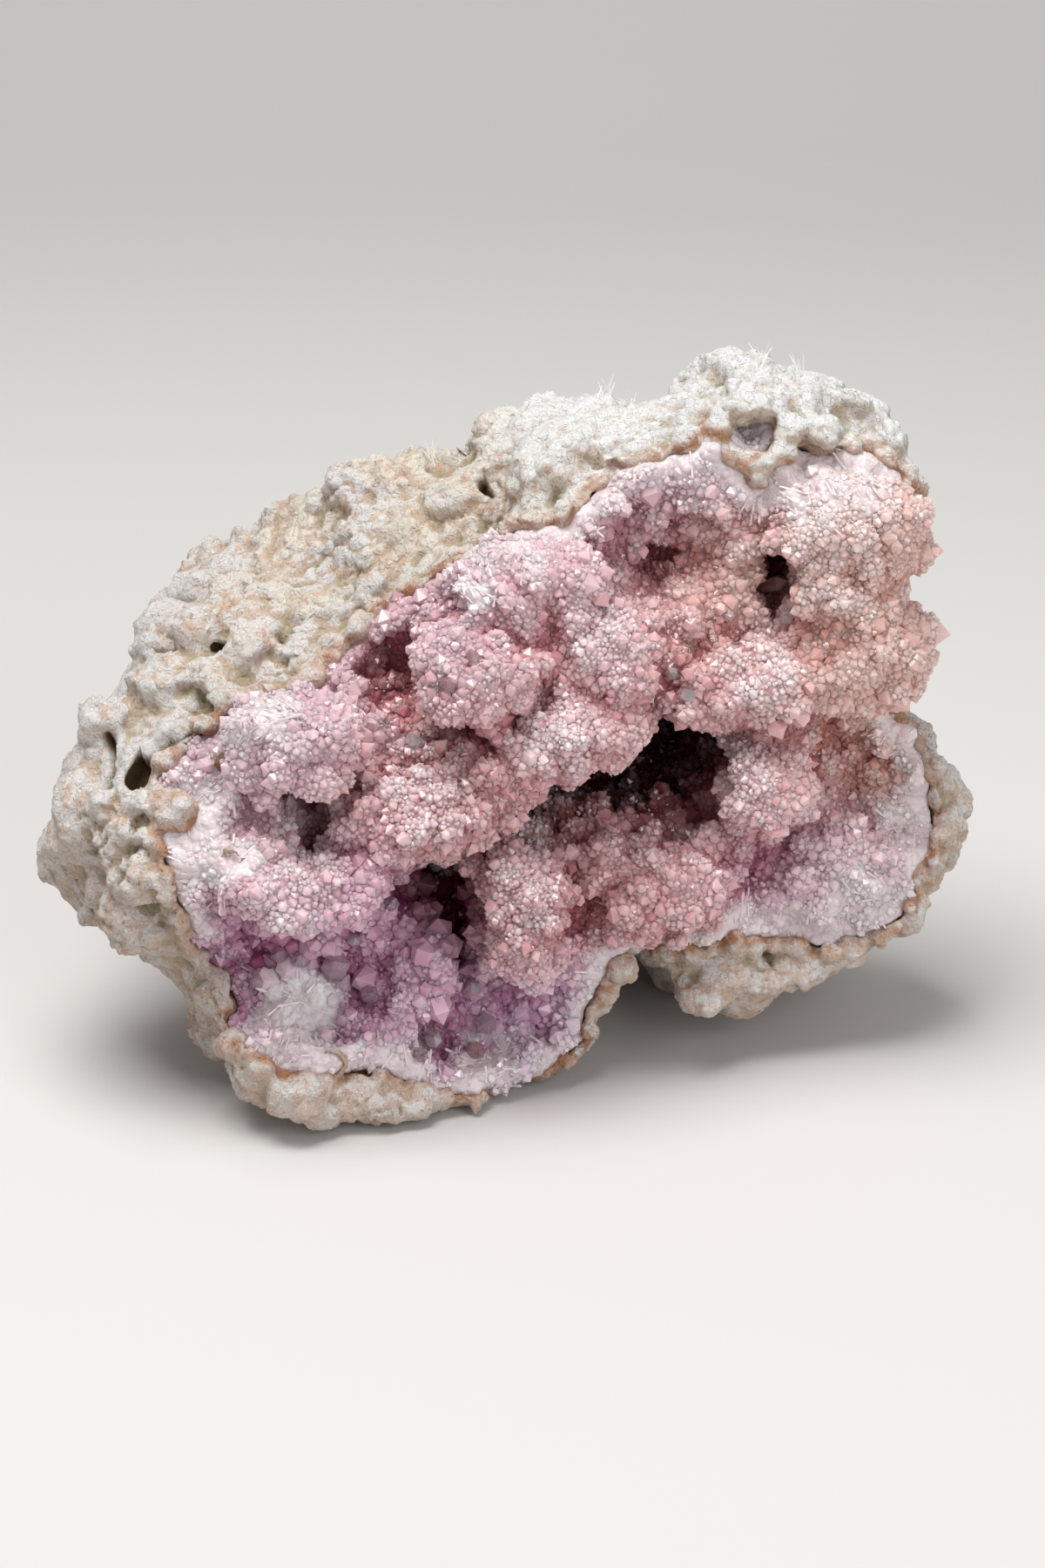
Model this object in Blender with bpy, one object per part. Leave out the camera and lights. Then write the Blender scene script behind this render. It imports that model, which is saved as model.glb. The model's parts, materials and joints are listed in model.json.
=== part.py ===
"""A broken amethyst geode: a lumpy pale rind round a bed of pink quartz crystals with deep pockets.

The stone is first one closed skin: lumps melted together, cut at the broken face, with the crystal masses
added and the pockets taken out. The quartz body then divides it into the rind and the crystal bed, which
meet with a gap of JOINT_GAP all round.

Sizes are in millimetres, turned into metres by MM. +Z is up and the broken face looks towards -Y. The
specimen ends up with the middle of its outline over the origin, on the ground.
"""

import math

import bmesh
import bpy
from mathutils import Matrix, Vector, noise
from mathutils.bvhtree import BVHTree

MM = 0.001
SEED = 11

# The broken face is a plane that leans back and turns a little to the right: y is FACE_DEPTH at x = z = 0.
FACE_DEPTH = -24.0
FACE_TURN = 0.30
FACE_LEAN = 0.20

# How finely the skins are melted together, and how many triangles the skin and the quartz body keep. The
# bed keeps a finer mesh than the rind by BED_FAVOUR.
SKIN_VOXEL = 1.3
QUARTZ_VOXEL = 2.2
SKIN_TRIANGLES = 7750
QUARTZ_TRIANGLES = 500
BED_FAVOUR = 0.008
BED_WEIGHT = 0.5

# How the two pieces meet, and how much of the feet is ground flat.
JOINT_GAP = 0.35
MASS_ROOM = 3.5
FOOT_FLAT = 0.6

# Relief: knobs and warts on the rind, swellings on the bed, each with its size, its height and the part of
# it that sinks in. The rind's relief fades out over RIND_FADE outside the quartz.
KNOBS = (13.0, 3.8, 0.7)
WARTS = (6.5, 0.9, 0.7)
SWELLINGS = (6.0, 1.2, 0.6)
RIND_FADE = 2.0
WARP_SIZE = 13.0
WARP_REACH = 2.2

# Crystal points: their height, how much that varies and over what distance, how they lean, and how far
# inside the quartz body a point has to start.
POINT_HEIGHT = 1.7
POINT_VARIES, POINT_VARIES_OVER = 0.4, 7.0
POINT_LEAN, POINT_LEAN_OVER = 0.5, 3.0
POINT_DEPTH = 0.8

# Finishes: name, colour and roughness.
RIND = ("chalky_rind", (0.72, 0.66, 0.58), 0.9)
ROSE = ("rose_quartz", (0.66, 0.38, 0.38), 0.25)

# The lumps of the stone: centre, radii, and turn about Y in degrees.
STONE = [
    ((0, 6, 42), (45, 29, 31), -24),  # the middle
    ((-45.5, -9, 34), (19.5, 20, 19), 0),  # left shoulder, low at the front
    ((-36, 4, 48), (22, 22, 17), -25),  # upper left, behind the face
    ((-31, 27, 49), (24, 17, 20), -25),  # upper left, at the back
    ((-14, 22, 60), (22, 20, 19), -15),  # ridge
    ((10, 16, 71), (22, 21, 19), -20),  # upper middle
    ((36.5, 14, 77.5), (20.5, 17, 19), 5),  # top right
    ((41, 12, 58), (14, 18, 18), 0),  # right side
    ((47, 6, 31), (18.5, 18, 19), -10),  # right shoulder
    ((-20, -18, 15), (26, 17, 18), -5),  # front foot
    ((-2, -15, 13), (20, 15, 14), -10),  # front sill
    ((35, 3, 22), (24, 18, 19), -10),  # lower right
    ((6, 26, 20), (28, 20, 22), 0),  # back foot
    ((31, 17, 15), (21, 18, 16.5), 0),  # right foot
]

# The next four lists hold lumps and pockets of the broken face: x and z on it, how far in front of it the
# centre stands, radii, and turn about Y in degrees.
BED = [
    (-24, 43, 0, (25, 14, 20), -25),
    (2, 48, 0, (31, 22, 28), -25),
    (28, 62, 0, (27, 18, 25), -25),
    (40, 37, 0, (22, 16, 21.5), 0),
    (-22, 24.5, 0, (20.5, 13, 15.5), 0),
    (-3, 14, 0, (19, 13, 13.3), 0),
    (-8, 25, -4, (14, 16, 14), 0),  # round the lower pocket
    (18, 41, -18, (18.5, 16, 15), 0),  # round the back of the great pocket
    (33, 86, -3, (6, 9, 4), 0),  # round the small vug
]
MASSES = [
    (46, 74, 4, (11, 10, 8), 0),  # top right mass
    (44, 67, 6, (8, 6, 5), 0),  # its lower lip
    (52, 72, 2, (5.5, 8, 6), 0),  # its right tip
    (47.5, 58, 2, (9, 10, 9), 0),  # right mass
    (12, 60, 4, (9, 8, 6.5), 0),
    (-5, 61, 5, (8.5, 8, 6), 0),
    (3, 70, 1, (9, 7, 5.5), 0),
    (6, 50.5, 4, (13, 8, 5), -10),  # ridge over the great pocket
    (-3, 46, 3, (9, 8, 6), -20),
    (-12, 42, 4, (11, 8, 5.5), -10),  # the ridge's lower end
    (-28, 52, 1, (9, 7, 7), 0),
    (-28, 35, 3, (13, 8, 4.5), 5),  # ledge over the violet hollow
    (2, 27, 2, (6.5, 9, 11), -10),  # pillar beside the lower pocket
    (20, 27, -1, (10, 9, 7), 0),
    (36, 40, 1, (7, 8, 6), 0),
    (33, 54, 1, (11, 8, 6), 0),
    (44, 26, 0, (10, 7, 7), 0),
    (-27, 15, 0, (10, 5, 4.5), 15),
    (13, 31.5, -3, (5, 7, 4), 0),  # sill of the great pocket
]
RIM = [  # lumps of rind along the lower edge
    (-34, 11, 0, (5, 4, 4), 40),
    (-28, 5, 1, (8, 6, 5), 20),
    (-17, 2.5, 1, (8, 6, 4), 15),
    (-8, 1, 0, (7, 5, 2.6), 0),
    (29, 11, 0, (7, 5, 4), -10),
    (42, 13.5, 0, (7, 5, 4.5), -15),
    (53, 19.5, 0, (6, 5, 4.5), -40),
    (61, 29, 0, (4.5, 5, 4), -60),
]
POCKETS = [
    (22, 41.8, -6, (10.5, 19, 9.8), 0),  # great pocket, right part
    (8.5, 39.5, -5, (12, 15, 6.5), -28),  # great pocket, left tip
    (18, 41, -19, (13, 12, 10), 0),  # great pocket, the back
    (-9, 28, -3, (8.5, 14, 7.5), -10),  # lower pocket
    (-6.5, 21, -3, (3.8, 14, 7.5), 0),  # its slot
    (-14.5, 59, -2, (5.5, 9.5, 6), 35),  # upper left pocket
    (-27, 44, -1, (4.5, 10, 7), 10),
    (20, 72, 0, (10.5, 8, 8), 0),  # upper pocket
    (20.5, 69, -2, (5.5, 11, 4.5), 0),  # its deepest part
    (37, 67, -1, (3.8, 13, 6.5), 15),  # deep gap beside the top right mass
    (6.5, 59.5, 0, (3.5, 9, 4.5), 20),
    (-26, 21, 1, (17, 9, 9), 0),  # violet hollow
    (2, 12, 1, (17, 8, 7), -10),
    (48, 41, 2, (9, 7, 7), 0),
    (33, 88, -1, (3.8, 5, 2.3), 0),  # a small vug in the rind
]

# What was broken away reaches well past the stone.
SLAB_WIDTH = 200.0
SLAB_MIDDLE = 50.0
SLAB_FRONT = -140.0


def face_y(x, z):
    """Depth of the broken face at x, z, in millimetres."""
    return FACE_DEPTH + FACE_TURN * x + FACE_LEAN * z


def on_face(x, z, out, radii, turn, grow=0.0):
    """A lump or pocket of the broken face, in the form that ellipsoids takes."""
    return ((x, face_y(x, z) - out, z), [r + grow for r in radii], turn)


def new_object(name, bm):
    mesh = bpy.data.meshes.new(name)
    bm.to_mesh(mesh)
    bm.free()
    obj = bpy.data.objects.new(name, mesh)
    bpy.context.scene.collection.objects.link(obj)
    return obj


def ellipsoids(name, lumps):
    """One mesh of overlapping ellipsoids, each given by its centre, radii and turn."""
    bm = bmesh.new()
    for centre, radii, turn in lumps:
        made = bmesh.ops.create_icosphere(bm, subdivisions=3, radius=1.0)
        place = (
            Matrix.Translation(Vector(centre) * MM)
            @ Matrix.Rotation(math.radians(turn), 4, "Y")
            @ Matrix.Diagonal((*(r * MM for r in radii), 1.0))
        )
        bmesh.ops.transform(bm, matrix=place, verts=made["verts"])
    return new_object(name, bm)


def apply_modifiers(obj):
    bpy.context.view_layer.update()
    graph = bpy.context.evaluated_depsgraph_get()
    mesh = bpy.data.meshes.new_from_object(obj.evaluated_get(graph))
    obj.modifiers.clear()
    old, obj.data = obj.data, mesh
    bpy.data.meshes.remove(old)
    return obj


def fuse(obj, voxel, smooth):
    """Melts overlapping shapes into one soft skin."""
    remesh = obj.modifiers.new("Fuse", "REMESH")
    remesh.mode = "VOXEL"
    remesh.voxel_size = voxel * MM
    soften = obj.modifiers.new("Soften", "SMOOTH")
    soften.factor = 0.5
    soften.iterations = smooth
    return apply_modifiers(obj)


def combine(obj, other, operation, solver="EXACT"):
    """Adds, cuts or keeps what is common, and removes the other object."""
    boolean = obj.modifiers.new(operation.title(), "BOOLEAN")
    boolean.operation = operation
    boolean.solver = solver
    boolean.object = other
    apply_modifiers(obj)
    bpy.data.objects.remove(other)
    return obj


def thin(obj, triangles, weights=None):
    """Collapses the mesh to about that many triangles, more of them where the group weights is weak."""
    obj.data.calc_loop_triangles()
    decimate = obj.modifiers.new("Thin", "DECIMATE")
    decimate.use_collapse_triangulate = True
    decimate.ratio = min(1.0, triangles / len(obj.data.loop_triangles))
    if weights:
        decimate.vertex_group = weights
        decimate.vertex_group_factor = BED_FAVOUR
    return apply_modifiers(obj)


def surface_of(obj):
    """The object's surface, for asking how far a point lies from it."""
    return BVHTree.FromObject(obj, bpy.context.evaluated_depsgraph_get())


def depth_inside(surface, point):
    """How far a point lies inside a closed surface, in millimetres, and below zero outside it."""
    nearest, normal, _, distance = surface.find_nearest(point)
    return (distance if (point - nearest).dot(normal) < 0 else -distance) / MM


def front_slab():
    """All that was broken away, in front of the face."""
    bm = bmesh.new()
    bmesh.ops.create_cube(bm, size=1.0)
    for corner in bm.verts:
        x = SLAB_WIDTH * corner.co.x
        z = SLAB_MIDDLE + SLAB_WIDTH * corner.co.z
        y = face_y(x, z) if corner.co.y > 0 else SLAB_FRONT
        corner.co = Vector((x, y, z)) * MM
    return new_object("broken_away", bm)


def specimen():
    """The whole stone as one skin: the lumps, cut at the broken face, with its masses and pockets."""
    stone = fuse(ellipsoids("specimen", STONE), SKIN_VOXEL, 6)
    combine(stone, front_slab(), "DIFFERENCE")
    masses = fuse(ellipsoids("masses", [on_face(*mass) for mass in MASSES + RIM]), SKIN_VOXEL, 0)
    combine(stone, masses, "UNION")
    fuse(stone, SKIN_VOXEL, 2)
    pockets = fuse(ellipsoids("pockets", [on_face(*pocket) for pocket in POCKETS]), SKIN_VOXEL, 0)
    combine(stone, pockets, "DIFFERENCE")
    return fuse(stone, SKIN_VOXEL, 3)


def quartz_body():
    """The space that the quartz fills: its bed, and the masses with room to spare."""
    inner = [on_face(*part) for part in BED]
    inner += [on_face(*mass, grow=MASS_ROOM) for mass in MASSES]
    body = fuse(ellipsoids("quartz", inner), QUARTZ_VOXEL, 4)
    return thin(body, QUARTZ_TRIANGLES)


def relief(point, size, height, sunk):
    """Height of rounded lumps at a point, in millimetres, with creases between them."""
    near, far = noise.voronoi(point / (size * MM))[0][:2]
    lump = min(1.0, 1.6 * (far - near)) ** 0.5 * (1.0 - 0.35 * near)
    return height * (lump - sunk)


def roughen(stone, quartz):
    """Raises knobs on the rind and low swellings on the quartz, and keeps the stone above the ground."""
    bm = bmesh.new()
    bm.from_mesh(stone.data)
    bm.normal_update()
    moves = []
    for vert in bm.verts:
        rind = min(1.0, max(0.0, -depth_inside(quartz, vert.co) / RIND_FADE))
        knobs = relief(vert.co, *KNOBS) + relief(vert.co, *WARTS)
        height = rind * knobs + (1.0 - rind) * relief(vert.co, *SWELLINGS)
        aside = noise.noise_vector(vert.co / (WARP_SIZE * MM)) * WARP_REACH
        moves.append((aside + vert.normal * height) * MM)
    for vert, move in zip(bm.verts, moves):
        vert.co += move
        vert.co.z = max(vert.co.z, 0.0)
    bm.to_mesh(stone.data)
    bm.free()


def thin_skin(stone, quartz):
    """Thins the skin, the rind more than the bed, and makes its feet quite flat."""
    group = stone.vertex_groups.new(name="rind")
    for vert in stone.data.vertices:
        weight = 1.0 if depth_inside(quartz, vert.co) < -1.0 else BED_WEIGHT
        group.add([vert.index], weight, "REPLACE")
    thin(stone, SKIN_TRIANGLES, weights="rind")
    for vert in stone.data.vertices:
        if vert.co.z < FOOT_FLAT * MM:
            vert.co.z = 0.0


def grown(obj, gap):
    """A copy of a body, larger by gap all round."""
    bm = bmesh.new()
    bm.from_mesh(obj.data)
    bm.normal_update()
    for vert in bm.verts:
        vert.co += vert.normal * gap * MM
    return new_object("grown", bm)


def keep_largest(obj):
    """Deletes any chip that a cut has left apart from the piece."""
    bm = bmesh.new()
    bm.from_mesh(obj.data)
    left = set(bm.verts)
    islands = []
    while left:
        island = []
        front = [left.pop()]
        while front:
            vert = front.pop()
            island.append(vert)
            around = {edge.other_vert(vert) for edge in vert.link_edges} & left
            left -= around
            front += around
        islands.append(island)
    islands.sort(key=len)
    chips = [vert for island in islands[:-1] for vert in island]
    bmesh.ops.delete(bm, geom=chips, context="VERTS")
    bm.to_mesh(obj.data)
    bm.free()


def draw_points(bed, quartz):
    """Draws every vertex of the open bed that has no drawn neighbour out into a six-sided crystal point."""
    bm = bmesh.new()
    bm.from_mesh(bed.data)
    bm.normal_update()
    drawn = []
    for vert in bm.verts:
        around = [edge.other_vert(vert) for edge in vert.link_edges]
        if len(around) > 4 and depth_inside(quartz, vert.co) > POINT_DEPTH:
            if not any(other.tag for other in around):
                vert.tag = True
                drawn.append(vert)
    for vert in drawn:
        lean = noise.noise_vector(vert.co / (POINT_LEAN_OVER * MM)) * POINT_LEAN
        varied = 1.0 + POINT_VARIES * noise.noise(vert.co / (POINT_VARIES_OVER * MM))
        vert.co += (vert.normal + lean) * POINT_HEIGHT * varied * MM
    bm.to_mesh(bed.data)
    bm.free()


def centre(objects):
    """Moves the specimen so that the middle of its outline is over the origin."""
    points = [vert.co for obj in objects for vert in obj.data.vertices]
    across = [point.x for point in points]
    along = [point.y for point in points]
    middle = Vector((min(across) + max(across), min(along) + max(along), 0.0)) / 2
    for obj in objects:
        obj.data.transform(Matrix.Translation(-middle))


def give_finish(obj, name, colour, roughness):
    material = bpy.data.materials.new(name)
    material.use_nodes = True
    shader = material.node_tree.nodes["Principled BSDF"]
    shader.inputs["Base Color"].default_value = (*colour, 1.0)
    shader.inputs["Roughness"].default_value = roughness
    obj.data.materials.clear()
    obj.data.materials.append(material)


def main():
    for obj in list(bpy.data.objects):
        bpy.data.objects.remove(obj)
    noise.seed_set(SEED)
    rind = specimen()
    rind.name = "rind"
    quartz = quartz_body()
    surface = surface_of(quartz)
    roughen(rind, surface)
    thin_skin(rind, surface)
    bed = new_object("crystal_bed", bmesh.new())
    bed.data = rind.data.copy()
    combine(rind, grown(quartz, JOINT_GAP), "DIFFERENCE", "MANIFOLD")
    combine(bed, quartz, "INTERSECT", "MANIFOLD")
    keep_largest(rind)
    keep_largest(bed)
    draw_points(bed, surface)
    centre([rind, bed])
    give_finish(rind, *RIND)
    give_finish(bed, *ROSE)


main()
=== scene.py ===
import json
import math

import bmesh
import bpy
import numpy as np
from mathutils import Matrix, Vector, noise
from mathutils.bvhtree import BVHTree
from mathutils.geometry import intersect_point_line

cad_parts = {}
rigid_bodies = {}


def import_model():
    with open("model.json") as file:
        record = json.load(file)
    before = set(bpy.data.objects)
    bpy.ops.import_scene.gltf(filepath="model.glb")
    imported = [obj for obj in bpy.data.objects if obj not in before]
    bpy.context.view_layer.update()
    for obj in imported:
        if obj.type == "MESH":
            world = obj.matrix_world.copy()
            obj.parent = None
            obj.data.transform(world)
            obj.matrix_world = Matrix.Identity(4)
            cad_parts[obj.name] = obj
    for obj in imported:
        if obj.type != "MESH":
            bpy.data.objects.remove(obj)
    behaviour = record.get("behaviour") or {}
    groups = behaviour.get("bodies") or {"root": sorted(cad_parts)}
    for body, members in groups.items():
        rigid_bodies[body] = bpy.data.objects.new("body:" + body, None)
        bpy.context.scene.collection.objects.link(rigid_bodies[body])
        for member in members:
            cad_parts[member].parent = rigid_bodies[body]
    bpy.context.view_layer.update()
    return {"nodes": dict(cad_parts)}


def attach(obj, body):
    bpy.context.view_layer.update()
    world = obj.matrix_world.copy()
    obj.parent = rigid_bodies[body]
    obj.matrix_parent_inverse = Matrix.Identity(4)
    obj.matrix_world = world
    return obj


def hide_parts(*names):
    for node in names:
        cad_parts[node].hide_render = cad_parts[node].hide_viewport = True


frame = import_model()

# The rind is the crust of chalky rock that the geode grew in: knobs and warts with creases between them,
# stained tan and ochre. Its creases, hollows, crack and undersides are darkened with painted shade, and its
# upward faces at the top right are whitened with a painted highlight. It is one stone with the quartz,
# which grew on its inner side.
MM = 0.001
RIND_SEED = 5
JOINT_GAP = 0.6  # the rock and the quartz meet within this gap
RIND_COARSE = 1.0
RIND_GRAIN = 0.56
RIND_TRIANGLES = 192000
RIND_LOBES = [(9.0, 6.4, 1.2), (3.8, 2.5, 0.45)]
RIND_WARTS = [(3.0, 1.5, 0.35), (1.5, 0.8, 0.2)]
RIM_SITES = 60000  # places tried for the lumps along the rim
RIM_LOBES = 190
RIM_SIZES = (0.9, 2.5)
RIM_REACH = 3.2
KNOBS = [  # knobs that stand out of the rind: centre and radii
    ((-57.5, -20.6, 38.5), (4.8, 5.4, 7.6)), ((-51.0, -25.6, 38.4), (4.3, 5.4, 6.4)),
    ((-51.8, -27.0, 28.8), (3.5, 5.2, 4.8)), ((-44.8, -29.4, 43.6), (4.2, 2.9, 3.4)),
    ((-46.0, -23.6, 48.6), (2.2, 2.5, 2.1)), ((-50.4, -22.0, 47.4), (2.7, 2.8, 3.1)),
    ((-54.8, -14.6, 50.4), (3.8, 4.4, 4.0)), ((-46.6, -10.6, 54.4), (5.8, 4.8, 4.4)),
    ((-42.0, -6.0, 60.6), (4.6, 4.4, 3.8)), ((-25.8, -5.4, 61.8), (4.6, 3.4, 4.4)),
    ((-19.2, -3.4, 65.2), (2.6, 2.6, 3.2)), ((-23.6, -10.6, 60.4), (2.6, 2.4, 2.0)),
    ((-28.6, -12.0, 59.4), (2.8, 2.4, 2.0)), ((-38.4, -17.6, 55.4), (2.4, 2.4, 2.2)),
    ((-40.4, -15.0, 57.2), (2.6, 2.6, 2.4)), ((-49.2, -33.0, 35.4), (2.3, 2.6, 3.3)),
    ((-33.4, -37.8, 9.0), (3.8, 2.8, 2.6)), ((-36.8, -36.4, 13.0), (2.4, 2.2, 2.4)),
    ((-28.6, -39.2, 6.6), (4.6, 3.6, 3.6)), ((-20.4, -35.8, 5.2), (3.6, 2.8, 2.8)),
    ((-13.2, -34.0, 3.0), (3.2, 2.6, 2.2)), ((61.4, -3.4, 30.4), (2.4, 2.8, 3.2)),
    ((57.4, -7.4, 25.4), (2.8, 2.6, 2.8)), ((47.2, -11.8, 15.6), (3.0, 2.6, 2.6)),
    ((36.4, -14.6, 12.4), (2.6, 2.2, 2.0)), ((27.2, -19.8, 11.0), (2.6, 2.2, 2.0)),
    ((32.4, 0.6, 90.6), (4.6, 2.8, 1.9)), ((27.8, -1.6, 87.4), (2.2, 2.4, 2.6)),
    ((37.6, -0.4, 87.2), (2.3, 2.4, 2.8)), ((32.6, -2.6, 83.6), (4.4, 2.0, 1.5)),
    ((24.0, -1.2, 86.0), (2.6, 2.2, 2.4)), ((42.4, 0.6, 87.0), (3.0, 2.4, 2.4)),
    ((29.6, -2.2, 84.4), (2.4, 2.0, 1.8)), ((36.8, -2.0, 84.6), (2.6, 2.0, 1.9)),
    ((33.2, -3.2, 81.6), (1.8, 1.6, 1.6)),
]
CURLS = [  # thin curls of rock that lie on the quartz: middle, radius, start and end angle, thickness
    ((-36.7, -34.9, 39.4), 1.15, 0, 330, 0.5), ((-37.2, -26.0, 49.4), 1.7, -60, 230, 0.55),
    ((-23.6, -36.2, 10.2), 1.7, -100, 160, 0.6), ((14.2, -1.4, 82.2), 1.5, 20, 320, 0.5),
    ((33.4, -1.4, 82.6), 1.2, 40, 300, 0.6),
]
CREASES = [  # deep creases and the crack across the top: corners, width and depth
    ([(-7.0, 18.0, 80.0), (-4.9, 6.8, 79.0), (-1.3, -1.2, 75.8), (1.4, -9.5, 74.0)], 0.9, 3.2),
    ([(-50.0, -25.6, 46.2), (-47.9, -22.4, 50.2), (-44.6, -21.6, 51.4), (-42.0, -22.0, 50.6)], 1.5, 3.4),
    ([(-56.4, -12.0, 52.8), (-54.0, -18.2, 49.4), (-53.8, -24.6, 45.4)], 1.2, 2.4),
    ([(-53.8, -24.6, 45.4), (-48.5, -28.3, 44.4), (-46.4, -31.0, 40.6), (-46.2, -33.5, 34.0)], 1.1, 2.4),
    ([(-60.6, -21.8, 39.0), (-60.4, -22.0, 31.9), (-57.0, -24.6, 26.5)], 0.8, 1.6),
    ([(-49.4, -4.0, 57.4), (-45.6, -6.2, 58.4), (-38.6, -9.8, 59.6)], 1.0, 1.8),
    ([(-33.0, 2.0, 64.0), (-30.4, -6.0, 62.0), (-31.4, -10.4, 59.4)], 0.9, 1.8),
]
CHALK = (0.83, 0.80, 0.78)
# Painted highlight colour for the rind's lit upward faces.
PAINTED_HIGHLIGHT_WHITE = (0.92, 0.92, 0.91)
CREAM = (0.84, 0.77, 0.66)
TAN = (0.66, 0.50, 0.38)
PEACH_STAIN = (0.74, 0.50, 0.37)
OLIVE = (0.43, 0.37, 0.24)
# Dark brown for the painted shade in the deepest hollows and in the crack.
PAINTED_SHADE_UMBER = (0.16, 0.10, 0.05)
RUST = (0.50, 0.25, 0.14)
noise.seed_set(RIND_SEED)
rind_chance = np.random.default_rng(RIND_SEED)


def merged(name):
    """A new mesh object with the shape of one of the model's solids, its loose triangles merged."""
    bm = bmesh.new()
    bm.from_mesh(frame["nodes"][name].data)
    bmesh.ops.remove_doubles(bm, verts=bm.verts, dist=0.001 * MM)
    mesh = bpy.data.meshes.new(name + "_skin")
    bm.to_mesh(mesh)
    bm.free()
    piece = bpy.data.objects.new(name + "_skin", mesh)
    bpy.context.scene.collection.objects.link(piece)
    return piece


def settle(piece):
    """Applies the modifiers of a piece."""
    evaluated = piece.evaluated_get(bpy.context.evaluated_depsgraph_get())
    mesh = bpy.data.meshes.new_from_object(evaluated)
    piece.modifiers.clear()
    piece.data = mesh


def refine(piece, grain, smooth):
    """Turns a piece's skin into an even net of small faces, ready to be shaped."""
    remesh = piece.modifiers.new("net", "REMESH")
    remesh.mode = "VOXEL"
    remesh.voxel_size = grain * MM
    relax = piece.modifiers.new("relax", "SMOOTH")
    relax.iterations = smooth
    settle(piece)


def surface_of(piece):
    """A piece's surface, for asking how far a point lies from it."""
    return BVHTree.FromObject(piece, bpy.context.evaluated_depsgraph_get())


def step(value, low, high):
    """0 below low, 1 above high, and smooth between them, with low and high in either order."""
    part = min(1.0, max(0.0, (value - low) / (high - low)))
    return part * part * (3.0 - 2.0 * part)


def warped(point, size):
    """A point moved a little aside, so that cells of a size lose their regular look, in cells."""
    aside = noise.noise_vector(point / (size * 0.9 * MM)) * size * 0.4 * MM
    return (point + aside) / (size * MM)


def domes(point, size, height, crease=0.0):
    """Height in millimetres of round domes that meet in sharp creases."""
    near, far = noise.voronoi(warped(point, size))[0][:2]
    rounded = height * (math.sqrt(1.0 - min(0.55, near * near)) - 0.8)
    return rounded - crease * (1.0 - step(far - near, 0.0, 0.22))


def shape(piece, moves):
    """Moves each vertex of a piece, and keeps all of them above the ground."""
    mesh = piece.data
    places = np.empty(len(mesh.vertices) * 3)
    mesh.vertices.foreach_get("co", places)
    places = places.reshape(-1, 3) + np.array(moves)
    places[:, 2] = np.maximum(places[:, 2], 0.0)
    mesh.vertices.foreach_set("co", places.ravel())
    mesh.update()


def keep(piece, name, values):
    """Stores one number for each vertex under a name that a material can read."""
    layer = piece.data.attributes.new(name, "FLOAT", "POINT")
    layer.data.foreach_set("value", np.array(values, dtype=np.float32))


def hollowness(piece, rounds):
    """How far each vertex lies below its smoothed surroundings, in millimetres."""
    mesh = piece.data
    count = len(mesh.vertices)
    places = np.empty(count * 3)
    mesh.vertices.foreach_get("co", places)
    places = places.reshape(-1, 3)
    normals = np.empty(count * 3)
    mesh.vertices.foreach_get("normal", normals)
    ends = np.empty(len(mesh.edges) * 2, dtype=np.int64)
    mesh.edges.foreach_get("vertices", ends)
    first, second = ends.reshape(-1, 2).T
    degree = np.bincount(first, minlength=count) + np.bincount(second, minlength=count)
    smooth = places.copy()
    for _ in range(rounds):
        total = np.zeros_like(smooth)
        for axis in range(3):
            total[:, axis] = np.bincount(first, smooth[second, axis], count)
            total[:, axis] += np.bincount(second, smooth[first, axis], count)
        smooth = total / degree[:, None]
    return ((smooth - places) * normals.reshape(-1, 3)).sum(axis=1) / MM


def scatter(piece, tries, chance):
    """Random places on a piece, even over its area, with the normal and the nearest vertex there."""
    mesh = piece.data
    mesh.calc_loop_triangles()
    count = len(mesh.loop_triangles)
    corners = np.empty(count * 3, dtype=np.int64)
    mesh.loop_triangles.foreach_get("vertices", corners)
    corners = corners.reshape(-1, 3)
    places = np.empty(len(mesh.vertices) * 3)
    mesh.vertices.foreach_get("co", places)
    places = places.reshape(-1, 3)
    normals = np.empty(len(mesh.vertices) * 3)
    mesh.vertices.foreach_get("normal", normals)
    normals = normals.reshape(-1, 3)
    a, b, c = (places[corners[:, i]] for i in range(3))
    areas = np.linalg.norm(np.cross(b - a, c - a), axis=1)
    picked = chance.choice(count, tries, p=areas / areas.sum())
    u, v = chance.random((2, tries))
    flip = u + v > 1.0
    u[flip], v[flip] = 1.0 - u[flip], 1.0 - v[flip]
    w = 1.0 - u - v
    chosen = corners[picked]
    spots = places[chosen[:, 0]] * w[:, None] + places[chosen[:, 1]] * u[:, None]
    spots += places[chosen[:, 2]] * v[:, None]
    return spots, normals[chosen[:, 0]], chosen[:, 0]


def thinned(spots, radii, spacing, cell):
    """The spots that stay, none nearer to another than a share of their radii's sum."""
    homes = np.floor(spots / cell).astype(int)
    around = [(dx, dy, dz) for dx in (-1, 0, 1) for dy in (-1, 0, 1) for dz in (-1, 0, 1)]
    grid = {}
    stay = []
    for index, ((x, y, z), home, radius) in enumerate(zip(spots.tolist(), homes.tolist(), radii.tolist())):
        clear = True
        for dx, dy, dz in around:
            for ox, oy, oz, size in grid.get((home[0] + dx, home[1] + dy, home[2] + dz), ()):
                gap = (x - ox) ** 2 + (y - oy) ** 2 + (z - oz) ** 2
                if gap < (spacing * (radius + size)) ** 2:
                    clear = False
                    break
            if not clear:
                break
        if clear:
            grid.setdefault(tuple(home), []).append((x, y, z, radius))
            stay.append(index)
    return np.array(stay)


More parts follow.
